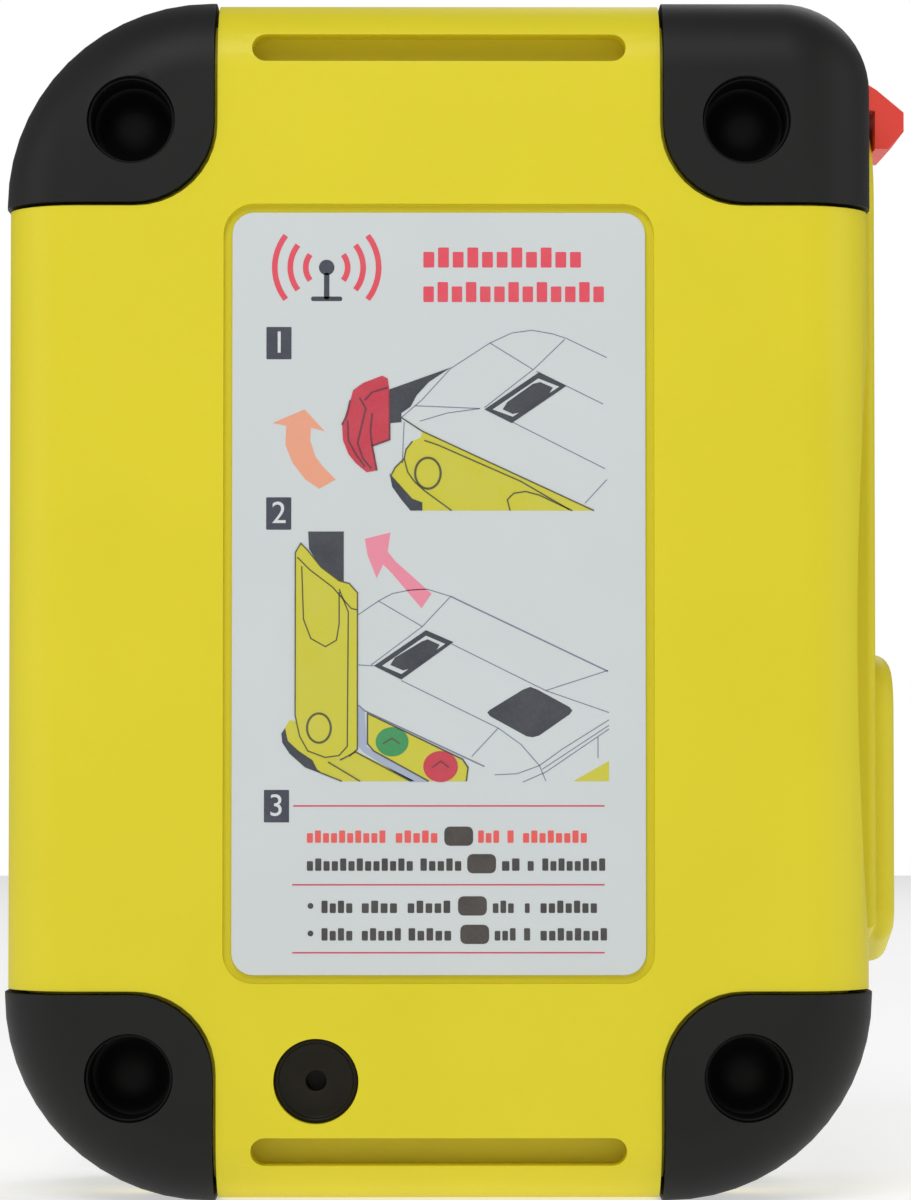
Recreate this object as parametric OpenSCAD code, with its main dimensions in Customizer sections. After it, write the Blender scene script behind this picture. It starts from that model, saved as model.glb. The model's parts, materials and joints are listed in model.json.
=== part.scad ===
// Personal emergency position beacon, standing on its bottom edge.
// +Z is up, the label face looks along -Y and the antenna arm lies on the +X side.
// The origin is at the bottom centre of the whole object's box.
// Inside the modules the case's own centre is the zero of X and Z, and the joint
// between the rear case and the front cover is Y = 0.

/* [Case] */
// Half width of the yellow rear case
half_w = 47.7; // [45:0.1:52]
// Half height of the yellow rear case
half_h = 66.15; // [62:0.05:72]
// Depth of the rear case behind the joint
rear_d = 20; // [19:0.5:24]
// Corner radius of three of the case's corners
corner_r = 22.4; // [18:0.2:24]
// Corner radius of the corner above the antenna arm
arm_corner_r = 9.6; // [8.6:0.2:11]
// Radius of the edge round the label face
edge_r = 8; // [4:0.5:8]

/* [Bumpers] */
// How far the bumpers stand proud of the case
bumper_proud = 0.35; // [0.1:0.05:0.6]
// Thickness of the bumpers under the case's surface
bumper_t = 2.2; // [1.6:0.1:2.4]
// Distance of the bumpers' inner edges from the case's centre line
bumper_x = 24.3; // [22:0.1:26]
// Height of the bumpers' inner edges from the case's centre
bumper_z = 43; // [42.5:0.1:46]
// Radius of the bumpers' inner corners
bumper_inner_r = 9; // [6:0.5:10]
// Radius of the screw recesses
recess_r = 4.85; // [4.5:0.05:5.2]
// Distance of the case screws from the centre line
screw_x = 33.8; // [33:0.1:34.5]
// Height of the case screws from the centre
screw_z = 52.45; // [52:0.05:53]

/* [Label face] */
// Width of the label
label_w = 45.3; // [40:0.1:46.5]
// Height of the label
label_h = 83.5; // [76:0.1:84.5]
// Length of each strap slot
slot_l = 41.1; // [34:0.1:44]
// Width of each strap slot
slot_w = 3.1; // [2.6:0.1:3.4]
// Height of the strap slots from the centre
slot_z = 60.5; // [60:0.1:61]
// Depth of the strap slots
slot_depth = 4.5; // [2:0.5:5]
// Radius of the vent port
port_r = 4.65; // [4.2:0.05:4.9]

/* [Front cover] */
// Inset of the cover's wall from the case's edge
cover_inset = 4.2; // [4.2:0.1:4.6]
// Height at which the cover's slopes start
cover_wall_y = 19; // [19:0.5:21]
// Height of the cover's flat top
cover_y = 24; // [23:0.5:27]
// Wall thickness of the cover
cover_t = 2.4; // [2:0.1:2.6]

/* [Antenna] */
// Height of the arm's pivot from the case's centre
pivot_z = 46.3; // [45:0.1:47]
// Width of the arm
arm_w = 20; // [18:0.5:20]
// Thickness of the arm
arm_t = 7.4; // [7.2:0.1:7.6]
// Height of the raised finger pad on the arm
pad_t = 2.6; // [1.5:0.1:3]
// Width of the tape antenna
tape_w = 13; // [11:0.5:13]
// Thickness of the tape antenna in its sleeve
tape_t = 0.5; // [0.4:0.05:0.6]

/* [Hidden] */

arc_steps = 12;                 // straight pieces in a quarter turn of an outline
round_fn = 48;
far = 100;                      // larger than the case, for cutting bodies

// the whole object's box, for the origin
tab_tip_x = 53.5;
box_mid_x = (tab_tip_x - half_w - bumper_proud) / 2;
box_mid_y = (cover_y - rear_d - bumper_proud) / 2;
stand_z = half_h + bumper_proud;

// case
rim_t = 4;                      // depth of the full rim in front of the bumpers
fit_gap = 0.05;                 // gap between pieces that fit into each other
line_gap = 0.4;                 // visible gap round each bumper
cavity_left = 41;
cavity_right = 39.4;
cavity_h = 56.4;                // half height of the inside
cavity_r = 12;
cavity_deep_h = 42;             // half height of the deep part, between the bumpers
cavity_floor = 17.2;
cavity_end_floor = 15.4;
screw_boss_r = 6.4;
recess_floor = 9;               // seat of the screw heads
screw_hole_r = 1.75;
label_recess_depth = 0.7;
label_t = 0.5;
label_z = 0.5;
label_margin = 0.95;            // width of the recess round the label
label_r = 2.4;
port_x = -13.4;
port_z = -52.8;
port_floor = 13.5;
port_boss_r = 6.4;
vent_hole_r = 1.6;
scallop_r = 12;                 // finger hollow beside the arm
scallop_depth = 2.8;
scallop_y = -1.5;
scallop_top = 32;
scallop_bottom = -40.5;
scallop_taper = 3;

// screws between the two shells
screw_r = 1.45;
screw_head_r = 2.75;
screw_head_t = 2.2;
screw_end_y = 6;
plug_t = 2.4;
insert_r = 2.3;
insert_start_y = 0.4;
insert_l = 6;
column_r = 4.2;

// front cover
cover_left = half_w - cover_inset;
cover_right = 42.3;
cover_top = half_h - cover_inset;
cover_r = corner_r + 0.4 - cover_inset;
cover_arm_r = 8;
flat_w = 35;
flat_mid_x = (cover_right - cover_left) / 2;
flat_h = 40.8;                  // half height of the flat top
roof_t = 2.2;
lip_y = 16.8;                   // the lip that keeps the tape in its channel
lip_t = 2.2;
lip_end_x = 42.3;
seal_inset = 1.2;
seal_w = 1.4;
seal_depth = 1;
window_w = 26;
window_h = 20;
window_z = -12;
badge_w = 33;
badge_h = 11;
badge_z = 34.3;
inlay_depth = 0.4;
inlay_t = 0.5;
inlay_gap = 0.1;

// keypad under the arm
keypad_top = 31.5;
keypad_bottom = -9.5;
keypad_low_y = 2.4;
keypad_high_y = 16.4;
keypad_r = 3.5;
bezel_face_x = cover_right - 0.1;
bezel_back_x = 38.6;
bezel_flange_t = 1.25;
button_y = 9.4;
test_z = 21.6;
activate_z = 2.5;
button_r = 6.1;
button_gap = 0.15;
button_face_x = 42.5;
button_travel = 0.9;
button_flange_r = 7.1;
button_flange_t = 1;
button_flange_x = 37.4;
switch_tip_x = 36.3;

// boards
board_y = 3.7;
board_t = 1.6;
board_left = -36;
board_right = 31.6;
board_h = 46;                   // half height
post_xs = [-30, 26];
post_z = 38;
post_r = 3;
post_hole_r = 1;
keypad_board_t = 1.6;

// battery of four cells in two rows
cell_r = 8.3;
cell_l = 34;
cell_y = -8;
cell_rows = [-31.6, -13.6];
cell_end_gap = 0.6;
tray_half_w = 37.5;
tray_bottom = -41.6;
tray_top = -3.6;
tray_back_y = -17.1;

// coaxial lead: up from the socket, then along the pivot's axis
lead_r = 0.65;
socket_top = board_y + board_t + 1.6;
lead_route = [[27, socket_top, 43], [27, socket_top + 1, 43], [27.6, 8.8, 43.3], [29, 9.9, 44.2],
    [31, 10.6, 45.3], [33.4, 11, 46.1], [35.6, 11, 46.3], [38, 11, 46.3], [43, 11, 46.3],
    [48.4, 11, 46.3]];

// arm
arm_x = cover_right + 0.3;
arm_face_x = arm_x + arm_t;
arm_low_y = 1;
pivot_y = arm_low_y + arm_w / 2;
arm_tip_front = -43;            // the tip is cut on a slant
arm_tip_rear = -37;
bush_r = 3.65;
bush_bore_r = 2.56;
bush_end_x = 47.65;
pin_r = 2.5;
pin_stud_r = 2;
pin_bore_r = 0.9;
pin_head_r = 4.7;
pin_head_x = 47.75;
pin_end_x = 48.9;
pin_start_x = 38.6;
cap_r = 6.5;
cap_x = 49.1;
cap_t = 0.8;
ring_r = 3.6;                   // sealing ring on the pivot
ring_section_r = 0.55;
pad_low_y = 5;
pad_w = 14;
pad_top = -6.8;
pad_bottom = -42.7;
pocket_top = 33;
pocket_bottom = -11;
pocket_depth = 1.6;

// tape: the centre line runs down the arm and round three corners, then along the top
tape_y = 3;
tape_x = half_w - 3.8;
tape_z = half_h - 3.8;
tape_r = 19;
tape_corner_x = tape_x - tape_r;
tape_corner_z = tape_z - tape_r;
tape_end_x = 35;
tape_root_z = -12;
joint_turn = 30;                // turn of the tape at each of its nine joints
end_gap = 0.4;                  // degrees left free at the ends of each length of tape

// release tab
tab_y = 2.4;
tab_w = 14;
tab_start_x = 26.8;
tab_under_z = 62.65;
tab_top_z = 68.2;
tab_corner_x = 40.2;
tab_corner_r = 9;

// ---------- shared outlines and placing ----------

// moves from the case's own centre to the object's frame
module place() {
    translate([-box_mid_x, -box_mid_y, stand_z]) children();
}

// an outline drawn in X and Z, raised along +Y from y0 to y1
module along_y(y0, y1) {
    translate([0, y1, 0]) rotate([90, 0, 0]) linear_extrude(y1 - y0) children();
}

// an outline drawn in Y and Z, raised along +X from x0 to x1
module along_x(x0, x1) {
    translate([x0, 0, 0]) rotate([90, 0, 90]) linear_extrude(x1 - x0) children();
}

// a cylinder along Y at x, z
module rod_y(r, y0, y1, x, z) {
    translate([x, y1, z]) rotate([90, 0, 0]) cylinder(r = r, h = y1 - y0, $fn = round_fn);
}

// a cylinder along X at y, z
module rod_x(r, x0, x1, y, z) {
    translate([x0, y, z]) rotate([0, 90, 0]) cylinder(r = r, h = x1 - x0, $fn = round_fn);
}

function arc(cx, cz, r, a0, a1, n) = [for (i = [0:n]) let (a = a0 + (a1 - a0) * i / n)
    [cx + r * cos(a), cz + r * sin(a)]];

function reversed(points) = [for (i = [len(points) - 1:-1:0]) points[i]];

// rounded rectangle with its own radius at the corner above the arm
function plate_outline(left, right, half, r, arm_r) = concat(
    arc(right - arm_r, half - arm_r, arm_r, 0, 90, arc_steps),
    arc(-left + r, half - r, r, 90, 180, arc_steps),
    arc(-left + r, -half + r, r, 180, 270, arc_steps),
    arc(right - r, -half + r, r, 270, 360, arc_steps));

function case_outline(grow) = plate_outline(half_w + grow, half_w + grow, half_h + grow,
    corner_r + grow, arm_corner_r + grow);

function cover_outline(grow) = plate_outline(cover_left + grow, cover_right + grow,
    cover_top + grow, cover_r + grow, cover_arm_r + grow);

module rounded_box_2d(x0, x1, z0, z1, r) {
    polygon(concat(arc(x1 - r, z1 - r, r, 0, 90, 6), arc(x0 + r, z1 - r, r, 90, 180, 6),
        arc(x0 + r, z0 + r, r, 180, 270, 6), arc(x1 - r, z0 + r, r, 270, 360, 6)));
}

// the rear case's outer form, with the rounded edge at its back
module case_form(grow) {
    r = edge_r + grow;
    hull() for (a = [0:15:90])
        along_y(-rear_d - grow + r * (1 - cos(a)), 0)
            polygon(case_outline(grow - r * (1 - sin(a))));
}

// the area of one bumper on the face; shrink leaves the visible gap
module bumper_area(side, up, shrink) {
    x = bumper_x + shrink;
    z = bumper_z + shrink;
    r = bumper_inner_r;
    mirror([side < 0 ? 1 : 0, 0]) mirror([0, up < 0 ? 1 : 0])
        polygon(concat(arc(x + r, z + r, r, 180, 270, 8), [[far, z], [far, far], [x, far]]));
}

module at_screws() {
    for (sx = [-1, 1], sz = [-1, 1])
        translate([sx * screw_x, 0, sz * screw_z]) children();
}

// ---------- rear case and what is on it ----------

module case_cavity() {
    along_y(-cavity_end_floor, 1)
        polygon(plate_outline(cavity_left, cavity_right, cavity_h, cavity_r, cavity_r));
    translate([-cavity_left, -cavity_floor, -cavity_deep_h])
        cube([cavity_left + cavity_right, cavity_floor, 2 * cavity_deep_h]);
}

module strap_slot(z) {
    for (sx = [-1, 1])
        rod_y(slot_w / 2, -rear_d - 1, -rear_d + slot_depth, sx * (slot_l - slot_w) / 2, z);
    translate([-(slot_l - slot_w) / 2, -rear_d - 1, z - slot_w / 2])
        cube([slot_l - slot_w, slot_depth + 1, slot_w]);
}

module finger_scallop() {
    x = half_w - scallop_depth + scallop_r;
    l = scallop_top - scallop_bottom;
    end_r = scallop_r - scallop_depth;
    translate([x, scallop_y, scallop_bottom]) {
        translate([0, 0, scallop_taper]) cylinder(r = scallop_r, h = l - 2 * scallop_taper, $fn = 64);
        cylinder(r1 = end_r, r2 = scallop_r, h = scallop_taper, $fn = 64);
        translate([0, 0, l - scallop_taper])
            cylinder(r1 = scallop_r, r2 = end_r, h = scallop_taper, $fn = 64);
    }
}

module seal_ring_2d(w) {
    difference() {
        polygon(cover_outline(-seal_inset + w / 2));
        polygon(cover_outline(-seal_inset - w / 2));
    }
}

module rear_case() {
    color("gold") place() difference() {
        union() {
            difference() {
                case_form(0);
                for (sx = [-1, 1], sz = [-1, 1])
                    along_y(-far, -rim_t) bumper_area(sx, sz, 0);
                case_cavity();
            }
            difference() {
                case_form(-bumper_t - fit_gap);
                case_cavity();
            }
            at_screws() rod_y(screw_boss_r, -cavity_end_floor - 1, -insert_start_y, 0, 0);
            rod_y(port_boss_r, -cavity_end_floor - 1, -port_floor + 2.5, port_x, port_z);
        }
        at_screws() rod_y(recess_r, -rear_d - 1, -recess_floor, 0, 0);
        at_screws() rod_y(screw_hole_r, -recess_floor - 1, 1, 0, 0);
        strap_slot(slot_z);
        strap_slot(-slot_z);
        rod_y(port_r, -rear_d - 1, -port_floor, port_x, port_z);
        rod_y(vent_hole_r, -port_floor - 1, 1, port_x, port_z);
        along_y(-rear_d - 1, -rear_d + label_recess_depth)
            rounded_box_2d(-label_w / 2 - label_margin, label_w / 2 + label_margin,
                label_z - label_h / 2 - label_margin, label_z + label_h / 2 + label_margin,
                label_r + label_margin);
        finger_scallop();
        along_y(-seal_depth, 1) seal_ring_2d(seal_w);
    }
}

module bumper(side, up) {
    color([0.18, 0.18, 0.18]) place() difference() {
        intersection() {
            case_form(bumper_proud);
            along_y(-far, -rim_t - 0.1) bumper_area(side, up, line_gap);
        }
        case_form(-bumper_t);
        rod_y(recess_r, -far, 0, side * screw_x, up * screw_z);
    }
}

// domed rubber plug over each screw head
module screw_plugs() {
    seat = recess_floor + screw_head_t + 0.2;
    color([0.12, 0.12, 0.12]) place() at_screws() {
        rod_y(recess_r - fit_gap, -seat - plug_t, -seat, 0, 0);
        rod_y(recess_r - 1.6, -seat - plug_t - 0.6, -seat - plug_t, 0, 0);
    }
}

module case_screws() {
    color("silver") place() at_screws() difference() {
        union() {
            rod_y(screw_head_r, -recess_floor - screw_head_t, -recess_floor, 0, 0);
            rod_y(screw_r, -recess_floor, screw_end_y, 0, 0);
        }
        translate([0, -recess_floor - screw_head_t + 1.2, 0]) rotate([90, 0, 0])
            cylinder(r = 1.2, h = 2, $fn = 6);
    }
}

module threaded_inserts() {
    color("goldenrod") place() at_screws() difference() {
        rod_y(insert_r, insert_start_y, insert_start_y + insert_l, 0, 0);
        rod_y(screw_r + fit_gap, insert_start_y - 1, insert_start_y + insert_l + 1, 0, 0);
    }
}

module case_seal() {
    color([0.2, 0.2, 0.2]) place() along_y(-seal_depth + 0.05, 0.05) seal_ring_2d(seal_w - 0.1);
}

module label_plate() {
    color("white") place() along_y(-rear_d + label_recess_depth - label_t, -rear_d + label_recess_depth)
        rounded_box_2d(-label_w / 2, label_w / 2, label_z - label_h / 2, label_z + label_h / 2, label_r);
}

module vent_plug() {
    color([0.16, 0.16, 0.12]) place() difference() {
        rod_y(port_r - fit_gap, -rear_d + 1.4, -port_floor - 1, port_x, port_z);
        rod_y(1.1, -rear_d, -rear_d + 3.4, port_x, port_z);
    }
}

module vent_seal() {
    color([0.1, 0.1, 0.1]) place() difference() {
        rod_y(port_r - 0.2, -port_floor - 1, -port_floor, port_x, port_z);
        rod_y(vent_hole_r, -port_floor - 2, 0, port_x, port_z);
    }
}

// ---------- front cover and keypad ----------

module cover_form(grow, y0, wall_y, top_y) {
    hull() {
        along_y(y0, wall_y) polygon(cover_outline(grow));
        along_y(y0, top_y) translate([flat_mid_x - flat_w / 2, -flat_h]) square([flat_w, 2 * flat_h]);
    }
}

module keypad_window_2d(grow) {
    rounded_box_2d(keypad_low_y - grow, keypad_high_y + grow, keypad_bottom - grow,
        keypad_top + grow, keypad_r + grow);
}

module inlay_2d(w, h, z, grow) {
    rounded_box_2d(flat_mid_x - w / 2 - grow, flat_mid_x + w / 2 + grow, z - h / 2 - grow,
        z + h / 2 + grow, 2);
}

module front_cover() {
    color("white") place() difference() {
        union() {
            difference() {
                union() {
                    cover_form(0, 0.1, cover_wall_y, cover_y);
                    along_y(lip_y, lip_y + lip_t) intersection() {
                        polygon(case_outline(bumper_proud));
                        translate([-far, -far]) square([far + lip_end_x, 2 * far]);
                    }
                }
                cover_form(-cover_t, -1, cover_wall_y - roof_t + 0.4, cover_y - roof_t);
            }
            at_screws() rod_y(column_r, insert_start_y - 0.2, cover_wall_y - roof_t + 1.2, 0, 0);
            for (x = post_xs, s = [-1, 1])
                rod_y(post_r, board_y + board_t, cover_wall_y - roof_t + 3, x, s * post_z);
            rod_x(5, 37.6, cover_right - cover_t + 1, pivot_y, pivot_z);
        }
        at_screws() rod_y(insert_r, -1, insert_start_y + insert_l, 0, 0);
        for (x = post_xs, s = [-1, 1]) rod_y(post_hole_r, 0, board_y + board_t + 5, x, s * post_z);
        rod_x(pin_stud_r, 36, cover_right + 1, pivot_y, pivot_z);
        translate([cover_right - 0.9, pivot_y, pivot_z]) rotate([0, 90, 0]) difference() {
            cylinder(r = ring_r + 0.6, h = 2, $fn = round_fn);
            translate([0, 0, -1]) cylinder(r = ring_r - 0.6, h = 4, $fn = round_fn);
        }
        along_x(cover_right - cover_t - 1, cover_right + 1) keypad_window_2d(0.1);
        along_y(cover_y - inlay_depth, cover_y + 1) inlay_2d(window_w, window_h, window_z, inlay_gap);
        along_y(cover_y - inlay_depth, cover_y + 1) inlay_2d(badge_w, badge_h, badge_z, inlay_gap);
    }
}

module receiver_window() {
    color([0.1, 0.1, 0.12]) place()
        along_y(cover_y - inlay_depth, cover_y) inlay_2d(window_w, window_h, window_z, 0);
}

module front_badge() {
    color("lightgray") place()
        along_y(cover_y - inlay_depth, cover_y) inlay_2d(badge_w, badge_h, badge_z, 0);
}

module keypad_bezel() {
    flange_end = bezel_back_x + bezel_flange_t;
    color("gold") place() difference() {
        union() {
            along_x(flange_end, bezel_face_x) keypad_window_2d(0);
            along_x(bezel_back_x, flange_end) rounded_box_2d(keypad_low_y - 0.8, keypad_high_y + 0.4,
                keypad_bottom - 1.5, keypad_top + 1.5, keypad_r);
        }
        for (z = [test_z, activate_z])
            rod_x(button_r + button_gap, bezel_back_x - 1, bezel_face_x + 1, button_y, z);
    }
}

module button(z) {
    rod_x(button_r, button_flange_x + button_flange_t, button_face_x, button_y, z);
    rod_x(button_flange_r, button_flange_x, button_flange_x + button_flange_t, button_y, z);
}

module test_button() {
    color("green") place() button(test_z);
}

module activate_button() {
    color("crimson") place() button(activate_z);
}

module tact_switches() {
    color("dimgray") place() for (z = [test_z, activate_z]) {
        translate([board_right, button_y - 3, z - 3]) cube([3.4, 6, 6]);
        rod_x(1.7, board_right + 3.4, switch_tip_x - 0.1, button_y, z);
    }
}

module keypad_board() {
    color("darkgreen") place()
        translate([board_right - keypad_board_t, board_y + board_t, activate_z - 9])
            cube([keypad_board_t, 10.5, test_z - activate_z + 18]);
}

// ---------- electronics ----------

module main_board() {
    color("darkgreen") place() difference() {
        translate([board_left, board_y, -board_h])
            cube([board_right - board_left, board_t, 2 * board_h]);
        for (x = post_xs, s = [-1, 1]) rod_y(1.2, 0, 10, x, s * post_z);
    }
}

module board_screws() {
    color("silver") place() for (x = post_xs, s = [-1, 1]) {
        rod_y(2, board_y - 1.5, board_y, x, s * post_z);
        rod_y(0.95, board_y, board_y + board_t + 4.5, x, s * post_z);
    }
}

module radio_shield() {
    front = board_y + board_t;
    color("silver") place() difference() {
        translate([-26, front, 6]) cube([26, 3.4, 26]);
        translate([-25.6, front - 1, 6.4]) cube([25.2, 4, 25.2]);
    }
}

module receiver_spacer() {
    front = board_y + board_t;
    color("dimgray") place() difference() {
        translate([flat_mid_x - 10, front, window_z - 10]) cube([20, 8, 20]);
        translate([flat_mid_x - 8, front - 1, window_z - 8]) cube([16, 10, 16]);
    }
}

module receiver_board() {
    front = board_y + board_t + 8;
    color("darkgreen") place() translate([flat_mid_x - 12, front, window_z - 12]) cube([24, 1, 24]);
}

module patch_antenna() {
    front = board_y + board_t + 9;
    color("tan") place() translate([flat_mid_x - 9, front, window_z - 9]) cube([18, 4, 18]);
}

module strobe_leds() {
    front = board_y + board_t;
    color("ivory") place() for (x = [-8, 8]) {
        translate([x - 2.5, front, 38]) cube([5, 1.2, 5]);
        rod_y(1.9, front + 1.2, front + 2.4, x, 40.5);
    }
}

module buzzer() {
    front = board_y + board_t;
    color([0.15, 0.15, 0.15]) place() difference() {
        rod_y(6, front, front + 5.2, 8, -36);
        rod_y(1, front + 2, front + 6, 8, -36);
    }
}

module battery_tray() {
    color([0.22, 0.22, 0.24]) place() difference() {
        translate([-tray_half_w, tray_back_y, tray_bottom])
            cube([2 * tray_half_w, cell_y - tray_back_y + 2, tray_top - tray_bottom]);
        for (z = cell_rows)
            rod_x(cell_r + fit_gap, -cell_l - cell_end_gap - 0.6, cell_l + cell_end_gap + 0.6, cell_y, z);
    }
}

module battery_cells() {
    color("steelblue") place() for (z = cell_rows, s = [-1, 1])
        rod_x(cell_r, s < 0 ? -cell_l - cell_end_gap : cell_end_gap,
            s < 0 ? -cell_end_gap : cell_l + cell_end_gap, cell_y, z);
}

module battery_contacts() {
    plate = 8;
    color("silver") place() for (z = cell_rows) {
        for (s = [-1, 1])
            translate([s * (cell_l + cell_end_gap + 0.35) - 0.2, cell_y - plate / 2, z - plate / 2])
                cube([0.4, plate, plate]);
        translate([-0.4, cell_y - plate / 2, z - plate / 2]) cube([0.8, plate, plate]);
    }
}

// two short wires from the tray's end to the board's plug
module battery_leads() {
    color("firebrick") place() for (x = [-22, -19])
        translate([x, -5, tray_top + 0.7]) rotate([-50, 0, 0])
            cylinder(r = 0.6, h = 7, $fn = 16);
}

module battery_plug() {
    color("ivory") place() translate([-24.5, board_y - 3, tray_top + 5.7]) cube([8, 3, 5]);
}

module antenna_socket() {
    color("goldenrod") place() rod_y(1.8, board_y + board_t, board_y + board_t + 1.6, 27, 43);
}

// thin coaxial lead from the board's socket, through the hollow pivot pin
function unit(v) = v / norm(v);

function tube_ring(route, i, r, sides) =
    let (last = len(route) - 1,
        along = unit(route[min(i + 1, last)] - route[max(i - 1, 0)]),
        side = unit(cross(along, [0, 0, 1])),
        up = cross(side, along))
    [for (k = [0:sides - 1]) let (a = 360 * k / sides)
        route[i] + r * (cos(a) * side + sin(a) * up)];

module tube(route, r, sides) {
    rings = len(route);
    polyhedron(
        points = [for (i = [0:rings - 1]) each tube_ring(route, i, r, sides)],
        faces = concat(
            [[for (k = [0:sides - 1]) k]],
            [for (i = [0:rings - 2], k = [0:sides - 1]) let (n = (k + 1) % sides)
                [i * sides + k, (i + 1) * sides + k, (i + 1) * sides + n, i * sides + n]],
            [[for (k = [sides - 1:-1:0]) (rings - 1) * sides + k]]));
}

module antenna_lead() {
    color([0.25, 0.2, 0.15]) place() tube(lead_route, lead_r, 10);
}

// ---------- antenna arm, tape and tab ----------

module pivot_pin() {
    color("silver") place() difference() {
        union() {
            rod_x(pin_stud_r, pin_start_x, cover_right, pivot_y, pivot_z);
            rod_x(pin_r, cover_right, pin_head_x, pivot_y, pivot_z);
            rod_x(pin_head_r, pin_head_x, pin_end_x, pivot_y, pivot_z);
        }
        rod_x(pin_bore_r, pin_start_x - 1, pin_end_x + 1, pivot_y, pivot_z);
    }
}

module arm_seal_ring() {
    color([0.1, 0.1, 0.1]) place() translate([cover_right - 0.3, pivot_y, pivot_z])
        rotate([0, 90, 0]) rotate_extrude($fn = round_fn) translate([ring_r, 0])
            circle(r = ring_section_r, $fn = 16);
}

// the arm's outline in Y and Z; grow narrows or widens it
function arm_outline(grow) = concat(
    arc(pivot_y, pivot_z, arm_w / 2 + grow, 0, 180, 2 * arc_steps),
    [[arm_low_y - grow, arm_tip_rear - grow]],
    arc(arm_low_y + arm_w - 2, arm_tip_front + 2, 2 + grow, 250, 360, 6));

module antenna_arm() {
    slot_y0 = tape_y - 0.1;
    pad_half = pad_w / 2;
    pad_mid = pad_low_y + pad_half;
    color("gold") place() difference() {
        union() {
            along_x(arm_x, arm_face_x) polygon(arm_outline(0));
            along_x(arm_face_x - 1, arm_face_x + pad_t) intersection() {
                polygon(arm_outline(-0.8));
                polygon(concat(arc(pad_mid, pad_top - pad_half, pad_half, 0, 180, arc_steps),
                    [[pad_low_y, arm_tip_front - 5], [pad_low_y + pad_w, arm_tip_front - 5]]));
            }
        }
        // hollow over the buttons
        along_x(arm_x - 1, arm_x + pocket_depth) rounded_box_2d(keypad_low_y, keypad_high_y + 1,
            pocket_bottom, pocket_top, keypad_r);
        // slit for the tape, open at the tip
        translate([tape_x - tape_t / 2 - 0.15, slot_y0, -far + tape_root_z - 1])
            cube([tape_t + 0.3, tape_w + 0.2, far + 2]);
        rod_x(bush_r, arm_x - 1, bush_end_x + 0.05, pivot_y, pivot_z);
        rod_x(pin_head_r + 0.4, bush_end_x + 0.05, cap_x, pivot_y, pivot_z);
        rod_x(cap_r + 0.1, cap_x, arm_face_x + 1, pivot_y, pivot_z);
    }
}

module pivot_bush() {
    color("ivory") place() difference() {
        rod_x(bush_r, arm_x + 0.05, bush_end_x, pivot_y, pivot_z);
        rod_x(bush_bore_r, arm_x - 1, bush_end_x + 1, pivot_y, pivot_z);
    }
}

module pivot_cap() {
    color("gold") place() rod_x(cap_r, cap_x, cap_x + cap_t, pivot_y, pivot_z);
}

// corner k of the tape's way round the case: 0 under the arm, 1 and 2 on the other side
function tape_corner(k) = k == 0 ? [tape_corner_x, -tape_corner_z]
    : k == 1 ? [-tape_corner_x, -tape_corner_z] : [-tape_corner_x, tape_corner_z];

function tape_arc(k, r, from, to) = let (c = tape_corner(k))
    arc(c[0], c[1], r, -90 * k - from, -90 * k - to, 4);

// stretches is a list of [corner, angle at start, angle at end] in the tape's own order
module tape_strip(stretches, before, after) {
    outer = tape_r + tape_t / 2;
    inner = tape_r - tape_t / 2;
    along_y(tape_y, tape_y + tape_w) polygon(concat(
        [for (p = before) [p[0] + p[2] * tape_t / 2, p[1] + p[3] * tape_t / 2]],
        [for (s = stretches) each tape_arc(s[0], outer, s[1], s[2])],
        [for (p = after) [p[0] + p[2] * tape_t / 2, p[1] + p[3] * tape_t / 2]],
        [for (p = reversed(after)) [p[0] - p[2] * tape_t / 2, p[1] - p[3] * tape_t / 2]],
        [for (i = [len(stretches) - 1:-1:0])
            each reversed(tape_arc(stretches[i][0], inner, stretches[i][1], stretches[i][2]))],
        [for (p = reversed(before)) [p[0] - p[2] * tape_t / 2, p[1] - p[3] * tape_t / 2]]));
}

module tape_root() {
    color([0.12, 0.12, 0.12]) place()
        tape_strip([[0, 0, joint_turn / 2 - end_gap]], [[tape_x, tape_root_z, 1, 0]], []);
}

// lengths 1 to 9 between the joints; every third one carries the tape to the next corner
module tape_link(i) {
    k = floor((i - 1) / 3);
    from = joint_turn * ((i - 1) % 3 + 0.5) + end_gap;
    to = i % 3 == 0 ? 90 : joint_turn * (i % 3 + 0.5) - end_gap;
    next = i % 3 == 0 && i < 9 ? [[k + 1, 0, joint_turn / 2 - end_gap]] : [];
    color([0.12, 0.12, 0.12]) place() tape_strip(concat([[k, from, to]], next), [],
        i == 9 ? [[tape_end_x, tape_z, 0, 1]] : []);
}

module release_tab() {
    color("red") place() along_y(tab_y, tab_y + tab_w) polygon(concat(
        [[tab_start_x, tab_under_z], [tab_start_x, tab_top_z - 2], [tab_start_x + 1.8, tab_top_z]],
        reversed(arc(tab_corner_x, tab_top_z - tab_corner_r, tab_corner_r, 5, 90, 8)),
        [[tab_tip_x, 56.6], [tab_tip_x, 54.2], [51.6, 50.2], [50.2, 50.2], [50.2, 56.8],
        [48, 57], [44, 57.4], [42, 60.6], [38, tab_under_z]]));
}

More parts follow.
